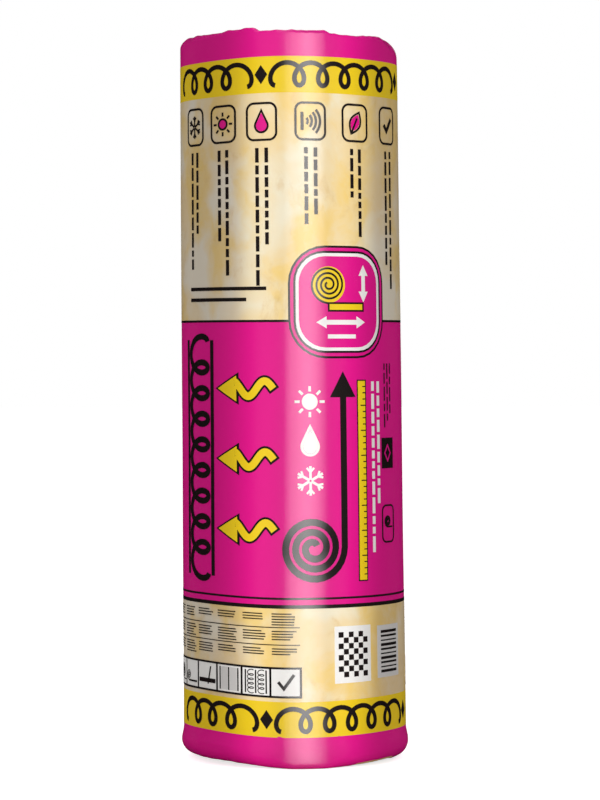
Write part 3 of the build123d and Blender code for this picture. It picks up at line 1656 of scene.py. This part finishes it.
@dataclass
class Artwork:
    """The film's generic print: insulation loops, weather signs, a roll sign and plain bars."""

    shape: RollShape
    gloss: FilmGloss
    seed: int = 5

    def __post_init__(self) -> None:
        """Sets out one plate for each ink."""
        self.dice = random.Random(self.seed)
        self.cream = Plate(CloudInk("ink_cream", self.gloss), Slot.CREAM, self.shape, 1)
        self.magenta = self.plain_plate("ink_magenta", MAGENTA, Slot.FILM, 2)
        self.white = self.plain_plate("ink_white", WHITE, Slot.WHITE, 3)
        self.grey = self.plain_plate("ink_grey", GREY, Slot.WHITE, 3)
        self.yellow = self.plain_plate("ink_yellow", YELLOW, Slot.YELLOW, 4)
        self.black = self.plain_plate("ink_black", BLACK, Slot.BLACK, 5)

    def plain_plate(self, name: str, colour: Colour, slot: Slot, level: int) -> Plate:
        """Makes an empty plate for a plain ink."""
        return Plate(PlainInk(name, colour, self.gloss), slot, self.shape, level)

    def grounds(self) -> None:
        """Prints the cream fields, the yellow stripes and the plain lines, all round the roll."""
        round_roll = TURN * self.shape.foot_radius
        for plate, level, low, high in (
            (self.cream, 1, 0.7247, 1.0990),
            (self.cream, 1, 0.1065, 0.2620),
            (self.yellow, 2, 1.0985, 1.1577),
            (self.yellow, 2, 0.0492, 0.1070),
            (self.black, 2, 0.7229, 0.7267),
            (self.black, 2, 0.2736, 0.2770),
            (self.black, 2, 0.2592, 0.2652),
        ):
            plate.patch(box(0.0, (low + high) / 2, round_roll, high - low), level=level)

    def stripe_loops(self) -> None:
        """Prints runs of loops and diamonds on both yellow stripes."""
        period = 0.0400
        for middle in (1.1285, 0.0775):
            for start, count in ((-0.230, 4), (-0.022, 6)):
                line = loops(count * period, 0.0185, period)
                self.black.stroke(moved(line, start, middle), 0.0076)
            for across in (-0.046, 0.242):
                self.black.patch(moved(DIAMOND, across, middle, 0.0155))

    def sign(
        self, kind: Sign, across: float, up: float, size: float, lines: Plate, fill: Plate
    ) -> None:
        """Draws one sign.

        Args:
            kind: What it shows.
            across: Its middle, across.
            up: Its middle, upwards.
            size: Half of its height.
            lines: Plate of its lines.
            fill: Plate of its filled part.
        """
        pen = 0.17 * size

        def line(
            points: Outline, turn: float = 0.0, width: float = pen, closed: bool = False
        ) -> None:
            """Draws a line of the sign, turned by some degrees."""
            lines.stroke(moved(points, across, up, size, turn), width, closed)

        def area(points: Outline) -> None:
            """Fills a part of the sign."""
            fill.patch(moved(points, across, up, size))

        if kind is Sign.SNOW:
            for step in range(6):
                line([(0.0, 0.07), (0.0, 0.95)], 60 * step)
                line([(-0.24, 0.84), (0.0, 0.56), (0.24, 0.84)], 60 * step, 0.8 * pen)
        elif kind is Sign.SUN:
            area(circle(0.0, 0.0, 0.38))
            line(circle(0.0, 0.0, 0.44), closed=True)
            for step in range(8):
                line([(0.0, 0.66), (0.0, 1.0)], 45 * step)
        elif kind is Sign.DROP:
            outline = [(0.0, 0.95), *arc(0.0, -0.34, 0.56, 25, -230, 26)]
            area(moved(outline, 0.0, -0.05, 0.84))
            line(outline, closed=True)
        elif kind is Sign.SOUND:
            area(box(-0.72, 0.0, 0.26, 1.5))
            for radius in (0.38, 0.74, 1.10, 1.46):
                line(arc(-0.62, 0.0, radius, -42, 84, 12), width=1.2 * pen)
        elif kind is Sign.LEAF:
            side = [(0.55 * math.sin(math.pi * step / 12), step / 6 - 1) for step in range(13)]
            other = [(-x, y) for x, y in reversed(side[1:-1])]
            area(moved(side + other, 0.0, 0.0, 0.80, -25))
            line(side + other, -25, closed=True)
            line([(0.0, -1.0), (0.0, 0.45)], -25)
        elif kind is Sign.ROLL:
            line([*coil(2.6, 0.12, 0.62), (1.0, -0.62)])
        else:
            line([(-0.6, 0.05), (-0.15, -0.45), (0.7, 0.6)], width=2 * pen)

    def bars(self, across: float, top: float, length: float, pen: float, plate: Plate) -> None:
        """Draws a broken vertical bar.

        Args:
            across: Its middle, across.
            top: Its top, from where it hangs.
            length: Its length.
            pen: Its width.
            plate: Plate of its ink.
        """
        up, gap = top, 0.0048
        while up > top - length:
            run = self.dice.uniform(0.010, 0.026)
            plate.stroke([(across, up), (across, up - run)], pen)
            up -= run + gap

    def upper_field(self) -> None:
        """Prints a row of framed signs on the upper cream field, with bars hanging under each."""
        top, wide, high, spacing, under = 1.082, 0.050, 0.060, 0.0160, 0.013
        middle = top - high / 2
        for kind, across, fill, lengths in (
            (Sign.SNOW, -0.190, self.black, (0.190, 0.140)),
            (Sign.SUN, -0.118, self.magenta, (0.140, 0.205)),
            (Sign.DROP, -0.046, self.magenta, (0.215, 0.150)),
            (Sign.SOUND, 0.036, self.black, (0.125, 0.090)),
            (Sign.LEAF, 0.118, self.magenta, (0.085, 0.125)),
            (Sign.TICK, 0.202, self.black, (0.170, 0.215)),
        ):
            self.black.stroke(rounded_box(across, middle, wide, high, 0.012), 0.0036, closed=True)
            self.sign(kind, across, middle, 0.0195, self.black, fill)
            for index, length in enumerate(lengths):
                spot = across + spacing * (index - (len(lengths) - 1) / 2)
                self.bars(spot, top - high - under, length, 0.0060, self.black)
        for up, end in ((0.778, -0.040), (0.760, -0.075)):
            self.black.stroke([(-0.205, up), (end, up)], 0.0058)

    def badge(self) -> None:
        """Prints the large panel that shows the roll, its length and its width."""
        across, up = 0.088, 0.756
        for plate, size, corner, level in (
            (self.black, 0.184, 0.062, 2),
            (self.magenta, 0.177, 0.059, 3),
        ):
            plate.patch(rounded_box(across, up, size, size, corner), level=level)
        ring = [rounded_box(across, up, size, size, size * 0.30) for size in (0.160, 0.149)]
        self.white.patch(*ring, level=4)
        self.black.stroke(rounded_box(across, up, 0.163, 0.163, 0.0495), 0.0034, closed=True)
        middle = (across - 0.024, up + 0.028)
        strip = box(across + 0.009, up - 0.0085, 0.066, 0.0125)
        for outline in (circle(*middle, 0.0300), strip):
            self.yellow.patch(outline, level=4)
        self.black.stroke(strip, 0.0030, closed=True)
        self.black.stroke(moved(coil(3.4, 0.004, 0.0305), *middle), 0.0033)
        length_arrow = (0.036, 0.0, (across, up - 0.0335))
        width_arrow = (0.021, 90.0, (across + 0.043, up + 0.030))
        for reach, turn, spot in (length_arrow, width_arrow):
            shaft = moved([(-reach, 0.0), (reach, 0.0)], *spot, turn=turn)
            self.white.stroke(shaft, 0.0076, level=4)
            for way, end in ((180.0, -reach), (0.0, reach)):
                tip = moved(moved(arrow_head(0.016), end, 0.0, turn=way), *spot, turn=turn)
                self.white.patch(tip, level=4)
        under = up - 0.0565
        self.white.stroke([(across - 0.026, under), (across + 0.026, under)], 0.0066, level=4)

    def wall_section(self) -> None:
        """Prints the builder's drawing of a filled wall, with heat that turns back from it."""
        low, high = 0.306, 0.694
        for across in (-0.218, -0.146):
            self.black.stroke([(across, low), (across, high)], 0.0072)
        line = loops(high - low - 0.006, 0.0255, 0.0425)
        self.black.stroke(moved(line, -0.182, low + 0.003, turn=90), 0.0100)
        heat = []
        for step in range(41):
            gone = step / 40
            sway = 0.0125 * math.sin(3 * math.pi * gone) * smooth_step(1.0, 0.75, gone)
            heat.append((-0.086 * gone, sway))
        outlined = [(0.0022, -0.0030), *heat]
        for up in (0.385, 0.500, 0.615):
            for plate, run, pen, tip, level in (
                (self.black, outlined, 0.0190, 0.034 * 1.26, 2),
                (self.yellow, heat, 0.0122, 0.034, 3),
            ):
                plate.stroke(moved(run, -0.030, up), pen, level=level)
                plate.patch(moved(arrow_head(tip), -0.112, up, turn=180), level=level)

    def large_roll(self) -> None:
        """Prints the tall sign of a roll with its mat drawn out upwards, beside a rule."""
        spiral = moved(coil(2.9, 0.007, 0.054), 0.034, 0.357, turn=90)
        self.black.stroke([*spiral, (0.088, 0.615)], 0.0112)
        self.black.patch(moved(arrow_head(0.038), 0.088, 0.620, turn=90))
        across, low, high = 0.1245, 0.302, 0.628
        middle, length = (low + high) / 2, high - low
        self.yellow.patch(box(across, middle, 0.0160, length))
        self.black.stroke(box(across, middle, 0.0172, length), 0.0018, closed=True)
        ticks, side = 32, across + 0.008
        for tick in range(1, ticks):
            up = low + length * tick / ticks
            reach = 0.0105 if tick % 4 == 0 else 0.0060
            self.black.stroke([(side - reach, up), (side, up)], 0.0018)

    def weather_row(self) -> None:
        """Prints the white and dark signs on the right of the magenta field."""
        for row, kind in enumerate((Sign.SNOW, Sign.DROP, Sign.SUN)):
            self.sign(kind, 0.030, 0.466 + 0.064 * row, 0.0250, self.white, self.white)
        for index, length in enumerate((0.270, 0.200)):
            self.bars(0.1500 + 0.0135 * index, 0.626, length, 0.0062, self.white)
        for index in range(3):
            self.bars(0.182 + 0.009 * index, 0.655, 0.085, 0.0026, self.black)
        across, up = 0.190, 0.508
        self.black.patch(box(across, up, 0.036, 0.050), moved(DIAMOND, across, up, 0.0165))
        self.black.patch(moved(DIAMOND, across, up, 0.0090))
        self.black.stroke(rounded_box(across, 0.392, 0.036, 0.060, 0.010), 0.0028, closed=True)
        self.sign(Sign.ROLL, 0.188, 0.396, 0.0150, self.black, self.black)

    def step_panels(self) -> None:
        """Prints the row of small framed drawings that show how a mat is laid."""
        wide, high, up, first = 0.050, 0.047, 0.1385, -0.264
        for index in range(6):
            across = first + wide * index
            self.white.patch(box(across, up, wide - 0.001, high), level=2)
            self.black.stroke(box(across, up, wide, high), 0.0034, closed=True)
        drawings = [
            (0, [*coil(3.2, 0.001, 0.014), (0.020, -0.014)], 0.0016),
            (1, moved(coil(2.2, 0.001, 0.0090), -0.012, -0.004), 0.0016),
            (1, [(-0.012, -0.0135), (0.020, -0.0135)], 0.0032),
            (2, [(-0.021, -0.008), (0.021, -0.008)], 0.0072),
            (2, [(0.003, -0.014), (0.010, 0.016)], 0.0028),
            (5, [(-0.012, 0.001), (-0.003, -0.010), (0.014, 0.013)], 0.0050),
        ]
        for post in (-0.018, 0.0, 0.018):
            drawings += [(index, [(post, -0.019), (post, 0.019)], 0.0024) for index in (3, 4)]
        for gap in (-0.009, 0.009):
            drawings.append((4, moved(loops(0.036, 0.0052, 0.0072), gap, -0.018, turn=90), 0.0014))
            self.grey.patch(box(first + wide * 3 + gap, up, 0.0130, 0.038), level=3)
        for index, points, pen in drawings:
            self.black.stroke(moved(points, first + wide * index, up), pen)

    def fine_rows(self) -> None:
        """Prints rows of fine bars above the step panels."""
        for row in range(3):
            top = 0.2530 - 0.0285 * row
            if row:
                self.black.stroke([(-0.290, top + 0.0040), (0.010, top + 0.0040)], 0.0014)
            for column in range(6):
                start = -0.286 + 0.050 * column
                for line in range(self.dice.choice((3, 4, 5))):
                    length = self.dice.uniform(0.028, 0.041)
                    up = top - 0.0024 - 0.0044 * line
                    self.black.stroke([(start, up), (start + length, up)], 0.0017)

    def labels(self) -> None:
        """Prints the two pale labels beside the step panels, one checked and one barred."""
        up = 0.182
        across, cell = 0.103, 0.0094
        self.white.patch(box(across, up, 0.070, 0.094))
        for row in range(8):
            for column in range(row % 2, 6, 2):
                spot = (across + cell * (column - 2.5), up - cell * (row - 3.5))
                self.black.patch(box(*spot, 0.0090, 0.0090))
        across, reach, pens = 0.187, 0.024, (0.0046, 0.0022, 0.0034)
        self.grey.patch(box(across, up, 0.066, 0.088))
        for row in range(10):
            level = up - 0.0335 + 0.0074 * row
            self.black.stroke([(across - reach, level), (across + reach, level)], pens[row % 3])

    def build(self) -> list[bpy.types.Object]:
        """Prints every motif on the front and again on the back, and wraps every plate.

        Returns:
            The printed pieces, one for each ink.
        """
        plates = (self.cream, self.magenta, self.white, self.grey, self.yellow, self.black)
        self.grounds()
        for shift in (0.0, math.pi * self.shape.foot_radius):
            for plate in plates:
                plate.shift = shift
            self.stripe_loops()
            self.upper_field()
            self.badge()
            self.wall_section()
            self.large_roll()
            self.weather_row()
            self.step_panels()
            self.fine_rows()
            self.labels()
        return [plate.build() for plate in plates]


class Glow(Enum):
    """What a lamp does: it lights the roll, or it shows as a highlight on it."""

    WASH = "wash"
    GLOSS = "gloss"


@dataclass(frozen=True)
class Strip:
    """One tall strip lamp that faces the roll's axis, at an azimuth in degrees."""

    name: str
    glow: Glow
    degrees: float
    distance: float
    width: float
    radiance: float
    tilt: float = 0.0
    top: float = 1.75
    foot: float = -0.55

    def build(self) -> None:
        """Stands the lamp, unseen by the camera."""
        height = self.top - self.foot
        lamp = bpy.data.lights.new(self.name, "AREA")
        lamp.shape = "RECTANGLE"
        lamp.size = self.width
        lamp.size_y = height
        lamp.energy = self.radiance * math.pi * self.width * height
        stand = placed(self.name, lamp)
        azimuth = math.radians(self.degrees)
        stand.location = round_point(self.distance, azimuth, (self.top + self.foot) / 2)
        facing = round_point(-1.0, azimuth, 0.0).to_track_quat("-Z", "Y")
        stand.rotation_euler = (facing @ Quaternion((0.0, 0.0, 1.0), -self.tilt)).to_euler()
        stand.visible_camera = False
        stand.visible_diffuse = self.glow is Glow.WASH
        stand.visible_glossy = self.glow is Glow.GLOSS


# The lamps that show as highlights end just over the roll, so its upper fold doesn't mirror them.
GLOSS_TOP = 1.235
STRIPS = (
    Strip("front_wash_left", Glow.WASH, -12.5, 0.235, 0.08, 0.86, tilt=0.022, foot=0.012),
    Strip("front_wash_right", Glow.WASH, 27, 0.235, 0.08, 0.86, tilt=0.010, foot=0.012),
    Strip("front_gloss_1", Glow.GLOSS, 8.8, 0.265, 0.130, 2.00, tilt=0.016, top=GLOSS_TOP),
    Strip("front_gloss_2", Glow.GLOSS, 8.8, 0.262, 0.098, 2.10, tilt=0.016, top=GLOSS_TOP),
    Strip("front_gloss_3", Glow.GLOSS, 9.2, 0.259, 0.060, 1.90, tilt=0.016, top=GLOSS_TOP),
    Strip("front_gloss_4", Glow.GLOSS, 9.2, 0.256, 0.028, 1.20, tilt=0.016, top=GLOSS_TOP),
    Strip("right_wash", Glow.WASH, 106, 0.26, 0.20, 0.68),
    Strip("left_wash", Glow.WASH, -106, 0.26, 0.20, 0.68),
    Strip("back_wash", Glow.WASH, 188, 0.25, 0.16, 0.55),
    Strip("right_gloss", Glow.GLOSS, 142, 0.30, 0.07, 1.1, top=GLOSS_TOP),
    Strip("left_gloss", Glow.GLOSS, -142, 0.30, 0.07, 1.1, top=GLOSS_TOP),
)


@dataclass(frozen=True)
class Studio:
    """Floor, background, lamps and cards of a plain studio."""

    ambient: float = 0.585
    floor_size: float = 60.0
    floor_grey: Colour = (0.8, 0.8, 0.8)
    floor_roughness: float = 0.9
    floor_glow: float = 0.72
    card_black: Colour = (0.012, 0.012, 0.012)

    def seen(self, sheet: NodeSheet) -> bpy.types.NodeSocket:
        """Tells what looks at the backdrop.

        Args:
            sheet: Node sheet of the backdrop.

        Returns:
            1 for the camera, a reflection and glass, 0 for the light that falls on the roll.
        """
        path = sheet.add("ShaderNodeLightPath").outputs
        seen = sheet.math("MAXIMUM", path["Is Camera Ray"], path["Is Glossy Ray"])
        return sheet.math("MAXIMUM", seen, path["Is Transmission Ray"])

    def world(self) -> None:
        """Makes the background white where it is seen, and plain light elsewhere."""
        world = bpy.data.worlds.new("studio")
        bpy.context.scene.world = world
        world.use_nodes = True
        sheet = NodeSheet(world.node_tree)
        mix = sheet.add("ShaderNodeMixShader", {0: self.seen(sheet)})
        for index, strength in ((1, self.ambient), (2, 1.0)):
            light = {"Color": (1.0, 1.0, 1.0), "Strength": strength}
            sheet.fill(mix, {index: sheet.add("ShaderNodeBackground", light).outputs[0]})
        sheet.add("ShaderNodeOutputWorld", {"Surface": mix.outputs[0]})

    def floor(self) -> None:
        """Lays a white floor that keeps the roll's soft shadow."""
        deselect_everything()
        bpy.ops.mesh.primitive_plane_add(size=self.floor_size)
        floor = named("studio_floor")
        material, sheet, shader = new_material("studio_floor")
        sheet.fill(shader, {
            "Base Color": self.floor_grey,
            "Roughness": self.floor_roughness,
            "Specular IOR Level": 0.0,
            "Emission Color": (1.0, 1.0, 1.0),
            "Emission Strength": sheet.math("MULTIPLY", self.seen(sheet), self.floor_glow),
        })
        floor.data.materials.append(material)
        floor.visible_shadow = False

    def card(
        self, name: str, location: tuple[float, float, float], size: Point2, upright: bool
    ) -> None:
        """Places a black card that only reflections see, to keep the film's colours deep.

        Args:
            name: Name of the card.
            location: Its middle.
            size: Its length along Y, and its height or its width along X.
            upright: Whether it stands, facing the roll, or lies on the floor.
        """
        deselect_everything()
        bpy.ops.mesh.primitive_plane_add(size=1, location=location)
        card = named(name)
        for vertex in card.data.vertices:
            along, side = vertex.co.y * size[0], vertex.co.x * size[1]
            vertex.co = (0.0, along, side) if upright else (side, along, 0.0)
        bpy.ops.object.transform_apply(location=True, rotation=True, scale=True)
        card.visible_camera = card.visible_diffuse = card.visible_shadow = False
        card.visible_transmission = False
        material, sheet, shader = new_material(name)
        dull = {"Base Color": self.card_black, "Roughness": 1.0, "Specular IOR Level": 0.0}
        sheet.fill(shader, dull)
        card.data.materials.append(material)

    def build(self) -> None:
        """Sets up the whole studio."""
        self.world()
        self.floor()
        self.card("studio_card_left", (-0.46, -1.0, 1.0), (9.0, 5.0), upright=True)
        self.card("studio_card_right", (0.46, -1.0, 1.0), (9.0, 5.0), upright=True)
        self.card("studio_card_floor", (0.0, 0.0, 0.0004), (2.4, 2.4), upright=False)
        for strip in STRIPS:
            strip.build()
        bpy.context.scene.view_settings.view_transform = "Standard"


@dataclass(frozen=True)
class PictureCamera:
    """The camera, at the photograph's eye level, distance and slight lean."""

    distance: float = 5.4
    eye_height: float = 0.6875
    focal_px: float = 3221.0
    frame_height_px: float = 800.0
    horizon_px: float = 345.0
    axis_shift: float = 0.0141
    lean: float = 0.0030
    sensor: float = 36.0

    def build(self) -> None:
        """Places the camera and makes it the scene's own."""
        data = bpy.data.cameras.new("picture")
        data.sensor_width = self.sensor
        data.lens = self.sensor * self.focal_px / self.frame_height_px
        data.shift_y = -(self.frame_height_px / 2 - self.horizon_px) / self.frame_height_px
        data.clip_end = 100.0
        camera = placed("picture", data)
        camera.location = (self.axis_shift, -self.distance, self.eye_height)
        camera.rotation_euler = (math.pi / 2, self.lean, 0.0)
        bpy.context.scene.camera = camera


def main() -> None:
    """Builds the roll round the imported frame."""
    logging.basicConfig(level=logging.INFO, format="%(message)s")
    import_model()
    PictureCamera().build()
    Studio().build()
    shape = RollShape()
    gloss = FilmGloss(FilmSkin().group())
    sleeve = FilmSleeve(shape, PlainInk("printed_film", MAGENTA, gloss).material())
    mat = WoolMat(shape, WoolFinish().material())
    pieces = [*sleeve.build(), *mat.build(), *Artwork(shape, gloss).build()]
    LOG.info("%d pieces", len(pieces))


if __name__ == "__main__":
    main()
